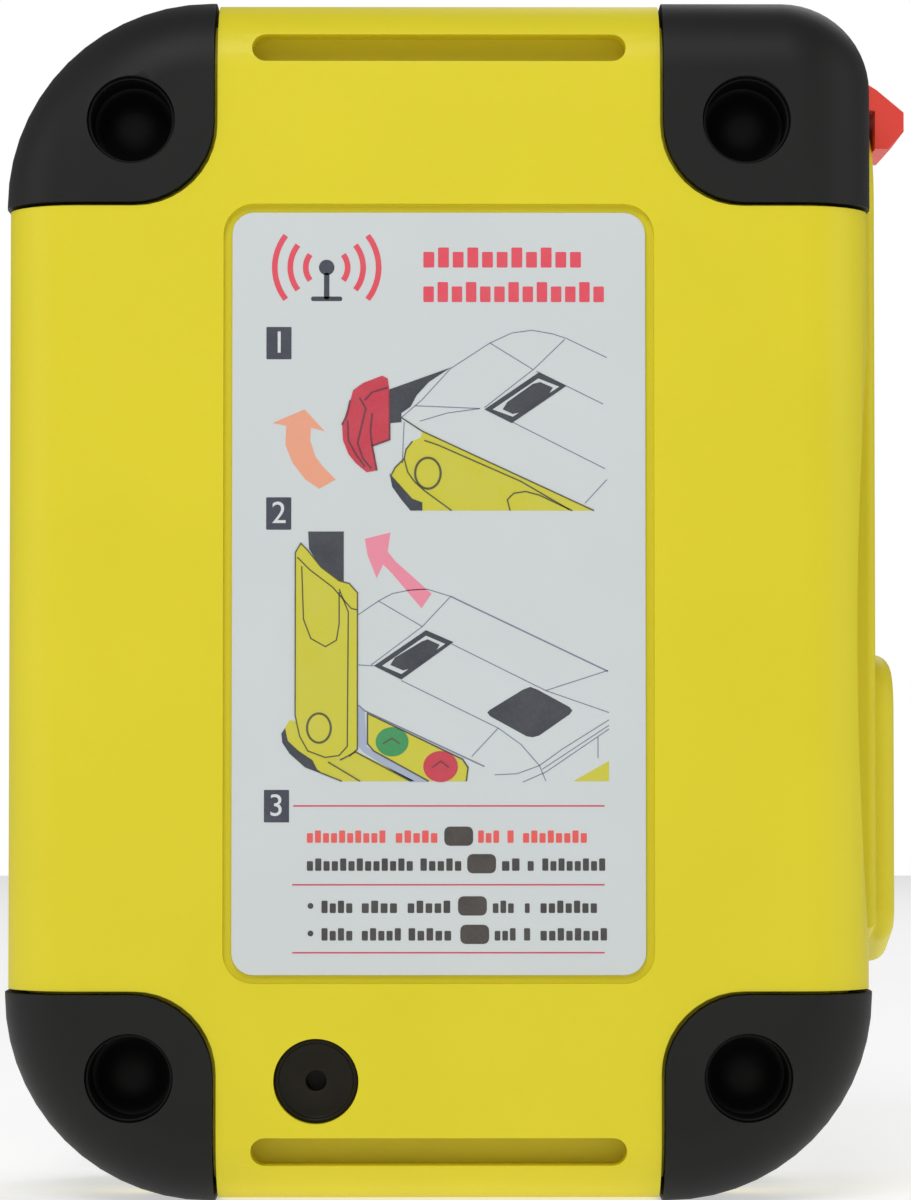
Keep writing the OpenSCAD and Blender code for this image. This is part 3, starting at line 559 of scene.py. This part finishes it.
print_ink("olive_ink", (0.060, 0.060, 0.014),
          (3, 0.14, [(-4.1, 19.7), (-1.8, 18.2), (17.0, 9.5)]),
          (3, 0.14, [(-1.6, 17.2), (-0.1, 16.7), (9.0, 12.7), (14.3, 9.6)]),
          (3, 0.14, [(-2.9, 17.1), (-3.6, 16.2), (-3.8, 15.2), (-3.4, 13.7), (-2.6, 12.6), (-1.6, 11.7),
                  (1.4, 9.5)]),
          (3, 0.14, [(7.8, 9.5), (7.5, 10.7), (8.2, 11.4), (9.5, 11.6), (11.0, 11.2), (14.6, 9.5)]),
          (3, 0.14, [(-3.8, 15.2), (-4.8, 14.2), (-5.3, 13.2)]),
          (3, 0.24, loop(*ring(-1.2, 13.6, 1.4, 1.7))),
          (4, 0.14, [(-15.7, 4.9), (-15.1, 5.9), (-14.3, 5.1), (-12.9, 3.3), (-10.9, 1.8), (-9.8, 1.5),
                  (-8.9, 0.5), (-8.9, -16.6), (-9.8, -17.4)]),
          (4, 0.14, [(-15.7, 4.9), (-15.7, -12.9), (-15.2, -15.2), (-14.3, -16.8), (-12.4, -17.5),
                  (-10.9, -17.3), (-10.0, -16.3), (-9.9, -1.6), (-10.9, 0.9)]),
          (4, 0.14, [(-15.5, 4.4), (-14.1, 3.0), (-11.6, 1.1), (-9.6, -1.2), (-8.9, -1.4)]),
          (4, 0.14, [(-15.0, 3.4), (-14.8, -2.4), (-14.0, -4.5), (-12.4, -5.4), (-11.2, -4.7),
                  (-10.9, -2.9), (-10.9, 0.6)]),
          (4, 0.14, [(-13.1, -19.1), (-10.6, -20.1)]),
          (4, 0.14, [(-10.8, -17.8), (-9.1, -16.9), (-3.1, -20.1)]),
          (4, 0.14, [(-12.1, -18.0), (-8.6, -20.1)]),
          (4, 0.24, loop(*ring(-13.1, -14.3, 1.3, 1.6))),
          (3, 0.16, [(-1.1, -20.1), (-7.1, -16.8), (-7.8, -16.0), (-7.8, -12.7), (2.6, -17.7), (3.2, -18.6),
                  (3.0, -20.1)]),
          (4, 0.16, [(-6.1, -16.0), (-5.1, -15.4), (-4.3, -16.0)]))
print_ink("white_ink", (0.60, 0.65, 0.66),
          (3, 0, [(5.9, 20.6), (10.9, 24.0), (13.2, 23.1), (8.1, 19.8)]),
          (3, 0, [(-6.2, -7.5), (-1.4, -4.2), (0.7, -5.1), (-4.1, -8.4)]))
print_ink("crimson_ink", (0.56, 0.014, 0.045),
          (3, 0, [(-9.7, 21.6), (-9.4, 22.7), (-8.3, 23.5), (-6.2, 24.3), (-5.6, 24.0), (-5.4, 22.7),
                  (-5.4, 17.3), (-7.3, 16.6), (-6.8, 13.9), (-7.9, 13.7), (-9.1, 14.7), (-9.9, 15.7),
                  (-10.5, 17.2), (-10.6, 18.9)]),
          (3, 0, ring(0.2, -18.5, 1.9, 1.7)))
print_ink("maroon_ink", (0.135, 0.006, 0.026),
          (4, 0.2, [(-8.7, 21.9), (-8.0, 20.7), (-8.9, 16.9), (-8.3, 15.2), (-7.4, 14.1)]),
          (4, 0.2, [(-10.0, 19.4), (-9.9, 17.2), (-9.1, 15.7), (-8.1, 14.3)]),
          (4, 0.2, [(-5.4, 22.7), (-5.4, 17.3), (-7.3, 16.6), (-6.8, 13.9)]),
          (4, 0.2, [(-8.1, 21.6), (-7.3, 22.5), (-5.6, 23.0)]),
          (4, 0.2, [(-7.3, 20.2), (-7.5, 18.2), (-7.3, 16.6)]),
          (4, 0.2, [(-9.7, 21.6), (-10.1, 19.9), (-10.6, 18.9)]),
          (4, 0.16, [(-0.7, -18.6), (0.2, -17.9), (1.1, -18.6)]))
print_ink("orange_ink", (0.83, 0.34, 0.20),
          (1, 0, [(-18.2, 19.1), (-14.7, 20.6), (-12.5, 18.2), (-14.0, 18.6), (-14.1, 17.2), (-13.5, 15.4),
                  (-12.6, 14.2), (-11.3, 12.9), (-13.1, 11.9), (-14.6, 12.9), (-16.0, 14.7), (-16.8, 16.7),
                  (-16.7, 18.8)]))
print_ink("pale_blue_ink", (0.36, 0.42, 0.56),
          (1, 0, [(-8.8, -12.0), (-8.1, -12.5), (-7.9, -16.3), (-7.1, -16.9), (-1.1, -20.2), (-3.1, -20.2),
                  (-8.3, -16.9), (-8.8, -16.3)]))
print_ink("green_ink", (0.015, 0.27, 0.07),
          (3, 0, ring(-5.1, -15.8, 1.8, 1.6)))
print_ink("pink_ink", (0.82, 0.24, 0.34),
          (1, 0, [(-8.1, 6.4), (-5.3, 7.1), (-5.6, 5.0), (-4.7, 3.9), (-0.8, 0.4), (-1.9, -1.2),
                  (-5.1, 2.6), (-6.1, 3.6), (-6.8, 2.1), (-7.8, 4.6)]))

# ---------- vent plug ----------
# A dark olive plug in the round port by the lower slot. It has a raised rim and a
# small breather hole in the middle, and is pressed in over a sealing washer.
vent = rod("vent_plug_disc", at(port_x, -14.5, port_z), at(port_x, -18.9, port_z), 4.6, 72)
edit(vent)
pick("FACE", lambda p, n: n.y < -0.9)
for step, fall in ((0.45, 0), (0.12, 0.35), (1.6, 0), (1.2, -0.12), (0.12, 0)):
    bpy.ops.mesh.inset(thickness=step * 0.001)
    bpy.ops.transform.translate(value=(0, fall * 0.001, 0))
bpy.ops.mesh.extrude_region_move(TRANSFORM_OT_translate={"value": (0, 0.0022, 0)})
leave()
soften(vent, 0.12, 2, 50)
olive = Finish("dark_olive_plastic", Specular_IOR_Level=0.22)
grain = olive.noise(0.4, 3)
paint(vent, olive.wire(olive.blend(grain, (0.0055, 0.0040, 0.0008), (0.0105, 0.0080, 0.0018)),
                       0.36 + grain * 0.2, grain, 0.015, 0.4))
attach(vent, "root")
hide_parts("vent_plug")

# ---------- front cover ----------
# The white front half: thin-walled, with four sloping sides up to a flat top, and a
# lip round three sides that keeps the wound antenna in its channel. The wall on the
# arm's side is plain, with an opening for the two keys.
def roof_form(name, grow, low, wall, flat, top):
    body = plate(name, -43.5 - grow, 42.3 + grow, -61.95 - grow, 61.95 + grow, low, wall, 18.6 + grow, 8 + grow)
    crown = block("crown", at(-18.1, low + 4, -40.8), at(16.9, top, 40.8))
    only(body)
    crown.select_set(True)
    bpy.ops.object.join()
    bpy.ops.object.mode_set(mode="EDIT")
    bpy.ops.mesh.select_all(action="SELECT")
    bpy.ops.mesh.convex_hull()
    if flat:
        pick("EDGE", lambda p, d: p.y > top - 0.01)
        bevel(flat, 2)
    leave()
    return body


cover = roof_form("front_cover_shell", 0, 0.1, 19, 0.7, 24)
lip = plate("lip", -48.05, 48.05, -66.5, 66.5, 16.8, 19, 22.75, 9.95)
cut(lip, block("side", at(42.3, 0, -80), at(60, 30, 80)))
cut(cover, lip, how="UNION")
cut(cover, roof_form("inside", -2.4, -1, 17.2, 0, 21.8))
keys_opening = round_upright(block("keys_opening", at(38, 2.3, -9.6), at(44, 16.5, 31.6)),
                             [(y, z, 3.5) for y in (2.3, 16.5) for z in (-9.6, 31.6)], 0, 8)
cut(cover, keys_opening, plate("window_bed", -13.7, 12.5, -22.1, -1.9, 23.6, 26, 2.05, steps=6),
    plate("badge_bed", -17.2, 16, 28.7, 39.9, 23.6, 26, 2.05, steps=6))
for side, up in corners:
    x, z = side * screw_x, up * screw_z
    cut(cover, rod("column", at(x, 0.5, z), at(x, 18, z), 4.2), how="UNION")
soften(cover, 0.3, 3, 9)
white_finish = Finish("white_moulded_plastic", Specular_IOR_Level=0.45)
grain, cloud = white_finish.noise(0.3, 3), white_finish.noise(30, 2)
white = white_finish.wire(white_finish.blend(cloud, (0.70, 0.71, 0.70), (0.76, 0.765, 0.755)),
                          0.38 + grain * 0.14, grain, 0.02, 0.3)
paint(cover, white)
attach(cover, "root")
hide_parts("front_cover")

# ---------- window and badge plate ----------
# Two inlays glued flush into the cover's flat top: a glossy black panel over the
# receiver's antenna, and a pale framed plate, which is left blank.
window = plate("receiver_panel", -13.6, 12.4, -22, -2, 23.6, 24, 2, steps=8)
soften(window, 0.12, 2, 40)
gloss = Finish("gloss_black_panel", Specular_IOR_Level=0.5, Coat_Weight=0.6, Coat_Roughness=0.06)
fleck = gloss.noise(0.25, 2)
paint(window, gloss.wire(gloss.blend(fleck, (0.006, 0.007, 0.009), (0.011, 0.012, 0.015)),
                         0.12 + fleck * 0.08, fleck, 0.003, 0.2))
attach(window, "root")
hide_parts("receiver_window")
badge = plate("badge_inlay", -17.1, 15.9, 28.8, 39.8, 23.6, 24, 2, steps=8)
edit(badge)
pick("FACE", lambda p, n: n.y > 0.9)
bpy.ops.mesh.inset(thickness=0.0012)
bpy.ops.mesh.inset(thickness=0.0002)
bpy.ops.transform.translate(value=(0, -0.00015, 0))
leave()
soften(badge, 0.06, 2, 25)
satin = Finish("satin_silver_foil", Metallic=0.65, Specular_IOR_Level=0.5)
brushed = satin.noise(0.5, 3, stretch=(0.05, 1, 1))
paint(badge, satin.wire(satin.blend(brushed, (0.52, 0.53, 0.54), (0.66, 0.67, 0.67)),
                        0.28 + brushed * 0.18, brushed, 0.005, 0.3))
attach(badge, "root")
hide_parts("front_badge")

# ---------- key bezel and keys ----------
# A yellow frame snapped into the cover's side wall holds two silicone keys, green for
# the test and red for switching on. Each key is dished and pushes a switch behind it.
bezel = round_upright(block("key_bezel", at(39.9, 2.4, -9.5), at(42.2, 16.4, 31.5)),
                      [(y, z, 3.5) for y in (2.4, 16.4) for z in (-9.5, 31.5)], 0, 8)
key_y, test_z, activate_z = 9.4, 21.6, 2.5
for z in (test_z, activate_z):
    cut(bezel, rod("key_hole", at(36, key_y, z), at(46, key_y, z), 6.28, 72))
soften(bezel, 0.3, 2, 40)
paint(bezel, yellow)
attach(bezel, "root")
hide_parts("keypad_bezel")
for name, z, dark, light in (("test", test_z, (0.006, 0.19, 0.05), (0.012, 0.27, 0.08)),
                             ("activate", activate_z, (0.40, 0.010, 0.03), (0.52, 0.016, 0.045))):
    key = rod(name + "_key", at(37.4, key_y, z), at(42.5, key_y, z), 6.1, 72)
    edit(key)
    pick("FACE", lambda p, n: n.x > 0.9)
    for step, move in ((0.7, 0.0), (0.35, -0.28), (2.2, -0.1), (0.3, 0.16), (0.9, 0.08)):
        bpy.ops.mesh.inset(thickness=step * 0.001)
        bpy.ops.transform.translate(value=(move * 0.001, 0, 0))
    leave()
    skirt = rod("skirt", at(37.4, key_y, z), at(38.4, key_y, z), 7.1, 72)
    cut(key, skirt, how="UNION")
    soften(key, 0.18, 2, 40)
    silicone = Finish(name + "_silicone", Specular_IOR_Level=0.38, Subsurface_Weight=0.06, Subsurface_Scale=0.001)
    grain = silicone.noise(0.35, 3)
    paint(key, silicone.wire(silicone.blend(grain, dark, light), 0.38 + grain * 0.18, grain, 0.02, 0.35))
    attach(key, name + "_key")
    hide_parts(name + "_button")

# ---------- antenna arm ----------
# A yellow lever up the case's side that folds over the keys. Its round top turns on
# a pin, its tip is cut on a slant, and a raised pad with soft edges is for the finger.
arm_x, arm_face = 42.6, 50.0
arm = block("antenna_lever", at(arm_x, 1, -43), at(arm_face, 21, 56.3))
edit(arm)
pick("VERT", lambda p, n: abs(p.y - 1) < 0.01 and p.z < -42)
bpy.ops.transform.translate(value=(0, 0, 0.006))
leave()
round_upright(arm, [(1, 56.3, 9.99), (21, 56.3, 9.99), (21, -43, 2)], 0, 20)
edit(arm)
pick("EDGE", lambda p, d: p.x > arm_face - 0.01)
bevel(1.1, 4)
leave()
pad = block("finger_pad", at(arm_face - 1, 5, -42.7), at(52.6, 19, -5.6))
edit(pad)
pick("VERT", lambda p, n: p.y < 6 and p.z < -40)
bpy.ops.transform.translate(value=(0, 0, 0.0048))
leave()
round_upright(pad, [(5, -5.6, 6.4), (19, -5.6, 6.4), (5, -37.9, 3), (19, -42.7, 4.6)], 0, 12)
edit(pad)
pick("EDGE", lambda p, d: p.x > 52.59)
bevel(2.1, 7)
leave()
cut(arm, pad, how="UNION")
pocket = round_upright(block("pocket", at(arm_x - 1, 2.4, -11), at(arm_x + 1.6, 17.4, 33)),
                       [(y, z, 3.5) for y in (2.4, 17.4) for z in (-11, 33)], 0, 8)
cut(arm, pocket, block("tape_slit", at(43.5, 2.9, -60), at(44.3, 16.1, -11)))
pivot_y, pivot_z = 11, 46.3
for name, start, end, radius, sides in (("cap_seat", 49.1, 51, 6.6, 72), ("head_room", 47.7, 49.3, 5.1, 48),
                                        ("pin_room", 41, 48.2, 3.7, 48)):
    cut(arm, rod(name, at(start, pivot_y, pivot_z), at(end, pivot_y, pivot_z), radius, sides), solver="FAST")
soften(arm, 0.25, 2, 38)
paint(arm, yellow)
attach(arm, "arm")
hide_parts("antenna_arm")
cap = rod("pivot_cover", at(49.1, pivot_y, pivot_z), at(49.95, pivot_y, pivot_z), 6.5, 72)
edit(cap)
pick("FACE", lambda p, n: n.x > 0.9)
for step, move in ((1.0, 0.0), (0.25, -0.25), (2.4, 0.0), (0.4, 0.12)):
    bpy.ops.mesh.inset(thickness=step * 0.001)
    bpy.ops.transform.translate(value=(move * 0.001, 0, 0))
leave()
soften(cap, 0.12, 2, 40)
paint(cap, yellow)
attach(cap, "arm")
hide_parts("pivot_cap")

# ---------- tape antenna ----------
# One springy steel strip in a black sleeve, 13 mm wide. It leaves a slit in the arm,
# runs under the lip round three corners and ends in the release tab. The first straight
# length rides on the arm and the others on bodies of their own; each corner is made in two halves.
sleeve = Finish("black_sleeve", Specular_IOR_Level=0.4)
weave, cloud = sleeve.noise(0.35, 3), sleeve.noise(12, 2)
black_sleeve = sleeve.wire(sleeve.blend(cloud, (0.008, 0.008, 0.009), (0.016, 0.016, 0.018)),
                           0.40 + weave * 0.2, weave, 0.02, 0.4)


def tape_section(name, x, z, across):
    """The strip's cross-section as a face: 0.5 mm by 13 mm with rounded edges."""
    bpy.ops.object.select_all(action="DESELECT")
    bpy.ops.mesh.primitive_plane_add(size=1, location=at(x, 9.5, z))
    piece = bpy.context.object
    piece.name = piece.data.name = name
    piece.scale = (0.0005, 0.013, 1)
    turned = Matrix((across, (0, 1, 0), Vector(across).cross(Vector((0, 1, 0)))))
    piece.rotation_euler = turned.transposed().to_euler()
    bpy.ops.object.transform_apply(location=True, rotation=True, scale=True)
    edit(piece)
    bpy.ops.mesh.select_all(action="SELECT")
    bpy.ops.mesh.bevel(offset=0.0002, segments=3, affect="VERTICES")
    return piece


def finish_tape(piece):
    bpy.ops.mesh.select_all(action="SELECT")
    bpy.ops.mesh.remove_doubles(threshold=1e-6)
    bpy.ops.mesh.normals_make_consistent(inside=False)
    leave()
    only(piece)
    bpy.ops.object.shade_smooth_by_angle(angle=math.radians(50))
    paint(piece, black_sleeve)
    return piece


def tape_run(name, start, end, steps):
    way = (at(end[0], 0, end[1]) - at(start[0], 0, start[1]))
    piece = tape_section(name, *start, (abs(way.normalized().z), 0, abs(way.normalized().x)))
    for _ in range(steps):
        bpy.ops.mesh.extrude_region_move(TRANSFORM_OT_translate={"value": way / steps})
    return finish_tape(piece)


tape_corners = ((24.9, -43.35), (-24.9, -43.35), (-24.9, 43.35))
tape_turn, tape_y = 19, 9.5


def on_corner(k, turn):
    angle = math.radians(-90 * k - turn)
    x, z = tape_corners[k]
    return x + tape_turn * math.cos(angle), z + tape_turn * math.sin(angle)


def tape_bend(name, k, first):
    angle = math.radians(-90 * k - first)
    piece = tape_section(name, *on_corner(k, first), (math.cos(angle), 0, math.sin(angle)))
    x, z = tape_corners[k]
    bpy.ops.mesh.spin(steps=14, angle=math.radians(-45), center=at(x, tape_y, z), axis=(0, 1, 0))
    return finish_tape(piece)


before = "arm"
runs = (((43.9, -12), (43.9, -43.35)), ((24.9, -62.35), (-24.9, -62.35)),
        ((-43.9, -43.35), (-43.9, 43.35)), ((-24.9, 62.35), (35, 62.35)))
for k in range(4):
    body = before
    run = tape_run("tape_run_%d" % (k + 1), *runs[k], 4)
    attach(run, body)
    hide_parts("tape_root" if k == 0 else "tape_%d" % (3 * k))
    if k == 3:
        break
    names = ["tape_part_%d" % (3 * k + i) for i in (1, 2, 3)]
    for half, (a, b) in enumerate(((before, names[0]), (names[1], names[2]))):
        bend = tape_bend("tape_corner_%d_%d" % (k + 1, half + 1), k, 45 * half)
        (x0, z0), (x1, z1) = on_corner(k, 45 * half), on_corner(k, 45 * half + 45)
        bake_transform(bend)
        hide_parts("tape_%d" % (3 * k + 1 + half))
    before = names[2]

# ---------- release tab ----------
# A red elastomer pull on the tape's end. It hooks round the squarer corner of the
# case, above the arm, and its lower end is ribbed and stands out for the thumb.
def outline(name, points, y0, y1):
    """A solid drawn point by point in the face of the case and given its depth."""
    bpy.ops.object.select_all(action="DESELECT")
    bpy.ops.mesh.primitive_plane_add(size=0.001, location=at(points[0][0], y0, points[0][1]))
    piece = bpy.context.object
    piece.name = piece.data.name = name
    bpy.ops.object.transform_apply(location=True, rotation=True, scale=True)
    bpy.ops.object.mode_set(mode="EDIT")
    bpy.ops.mesh.select_mode(type="VERT")
    bpy.ops.mesh.select_all(action="SELECT")
    bpy.ops.mesh.merge(type="CENTER")
    for (x0, z0), (x1, z1) in zip(points, points[1:]):
        bpy.ops.mesh.extrude_vertices_move(
            TRANSFORM_OT_translate={"value": ((x1 - x0) * 0.001, 0, (z1 - z0) * 0.001)})
    bpy.ops.mesh.select_all(action="SELECT")
    bpy.ops.mesh.edge_face_add()
    bpy.ops.mesh.select_all(action="SELECT")
    bpy.ops.mesh.extrude_region_move(TRANSFORM_OT_translate={"value": (0, (y1 - y0) * 0.001, 0)})
    bpy.ops.mesh.select_all(action="SELECT")
    bpy.ops.mesh.normals_make_consistent(inside=False)
    leave()
    return piece


bow = [(40.2 + 9 * math.cos(math.radians(a)), 59.2 + 9 * math.sin(math.radians(a))) for a in range(90, 0, -5)]
tab = outline("release_pull", [(26.8, 62.65), (26.8, 66.2), (27.3, 67.4), (28.6, 68.2), *bow, (50.4, 59.2),
                               (53.5, 56.6), (53.5, 54.4), (51.7, 52.4), (50.2, 52.4), (50.2, 56.8),
                               (48, 57), (44, 57.4), (42, 60.6), (38, 62.65)], 2.4, 16.4)
for y in (4.6, 7.0, 9.4, 11.8, 14.2):
    cut(tab, rod("groove", at(55.2, y, 52.2), at(49.4, y, 60.8), 0.45, 16))
soften(tab, 0.35, 3, 30)
red = Finish("red_elastomer", Specular_IOR_Level=0.42, Subsurface_Weight=0.08, Subsurface_Scale=0.001)
grain, cloud = red.noise(0.35, 3), red.noise(10, 2)
paint(tab, red.wire(red.blend(cloud, (0.78, 0.052, 0.038), (0.88, 0.072, 0.054)),
                    0.36 + grain * 0.2, grain, 0.02, 0.35))
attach(tab, "tape_part_9")
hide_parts("release_tab")

# ---------- inside the case ----------
# Screws, seals, boards, cells and leads, which the case hides. They keep their made
# shapes, and each gets the finish of its own metal, plastic or glass-fibre board.
def inner_finish(name, first, second, rough, blot, metallic=0.0, stretch=None, **fixed):
    made = Finish(name, Metallic=metallic, **fixed)
    grain = made.noise(blot, 3, stretch=stretch)
    return made.wire(made.blend(grain, first, second), rough + grain * 0.15, grain, 0.01, 0.3)


inside = {
    "steel": inner_finish("plain_steel", (0.42, 0.42, 0.43), (0.62, 0.62, 0.63), 0.24, 0.3, 1.0, (1, 0.1, 1)),
    "brass": inner_finish("plain_brass", (0.56, 0.38, 0.12), (0.74, 0.52, 0.20), 0.24, 0.4, 1.0),
    "board_green": inner_finish("green_board", (0.006, 0.08, 0.028), (0.012, 0.14, 0.05), 0.24, 1.2),
    "black_plastic": inner_finish("black_plastic", (0.010, 0.010, 0.011), (0.022, 0.022, 0.024), 0.42, 0.4),
    "ceramic": inner_finish("fired_ceramic", (0.40, 0.29, 0.17), (0.50, 0.38, 0.24), 0.55, 0.5),
    "led": inner_finish("lamp_body", (0.78, 0.74, 0.50), (0.86, 0.83, 0.66), 0.2, 0.5),
    "cell_wrap": inner_finish("blue_cell_sleeve", (0.05, 0.14, 0.32), (0.08, 0.20, 0.42), 0.22, 3, Coat_Weight=0.3),
    "wire_red": inner_finish("red_wire", (0.40, 0.012, 0.012), (0.52, 0.02, 0.02), 0.32, 0.5),
    "white_plastic": inner_finish("natural_nylon", (0.66, 0.65, 0.60), (0.74, 0.73, 0.69), 0.42, 0.6),
    "coax": inner_finish("brown_coax_jacket", (0.08, 0.045, 0.02), (0.12, 0.07, 0.035), 0.32, 0.4),
    "black_rubber": black_rubber,
}
for part in frame["record"]["subparts"]:
    node = frame["nodes"][part["node"]]
    if part["material_slot"] in inside and not node.hide_render:
        paint(node, inside[part["material_slot"]])

# ---------- room, light and camera ----------
# A pale table top in a white room, with one soft light above and in front, weaker
# ones from each side and from behind; the camera looks at the label side, square on.
scene = bpy.context.scene
bpy.ops.object.select_all(action="DESELECT")
bpy.ops.mesh.primitive_plane_add(size=2.4, location=(0, 0, 0))
table_top = bpy.context.object
table_top.name = "table_top"
top_finish = Finish("pale_table_top", Specular_IOR_Level=0.2)
cloud = top_finish.noise(60, 3)
paint(table_top, top_finish.wire(top_finish.blend(cloud, (0.66, 0.66, 0.66), (0.72, 0.72, 0.72)), 0.7 + cloud * 0.1))
top_finish.shader.inputs["Emission Color"].default_value = (1, 1, 1, 1)
top_finish.shader.inputs["Emission Strength"].default_value = 0.5
world = bpy.data.worlds.new("white_room")
world.use_nodes = True
world.node_tree.nodes["Background"].inputs[0].default_value = (1, 1, 1, 1)
room = world.node_tree
seen = room.nodes.new("ShaderNodeLightPath")
glow = room.nodes.new("ShaderNodeMapRange")  # the room shows white, and lights the object more weakly
glow.inputs["To Min"].default_value, glow.inputs["To Max"].default_value = 0.24, 1.0
room.links.new(seen.outputs["Is Camera Ray"], glow.inputs["Value"])
room.links.new(glow.outputs[0], room.nodes["Background"].inputs["Strength"])
scene.world = world
for name, place, size, power in (("front_light", (-0.10, -0.50, 0.56), 0.4, 2.15),
                                 ("right_light", (0.9, -0.30, 0.40), 0.6, 1.7),
                                 ("left_light", (-0.9, -0.30, 0.40), 0.6, 1.7),
                                 ("back_light", (0.3, 0.80, 0.80), 0.6, 2.2)):
    lamp = bpy.data.lights.new(name, "AREA")
    lamp.shape, lamp.size, lamp.energy = "DISK", size, power
    holder = bpy.data.objects.new(name, lamp)
    scene.collection.objects.link(holder)
    holder.location = place
    holder.rotation_euler = (Vector((0, 0, 0.066)) - Vector(place)).to_track_quat("-Z", "Y").to_euler()
lens = bpy.data.cameras.new("camera")
lens.lens, lens.sensor_width, lens.sensor_fit = 170, 36, "HORIZONTAL"
lens.clip_start, lens.clip_end = 0.01, 50
camera = bpy.data.objects.new("camera", lens)
scene.collection.objects.link(camera)
camera.location = (-0.0031, -0.492, 0.050)
camera.rotation_euler = (Vector((-0.0009, -0.0218, 0.0662)) - camera.location).to_track_quat("-Z", "Y").to_euler()
scene.camera = camera
scene.view_settings.view_transform = "Standard"
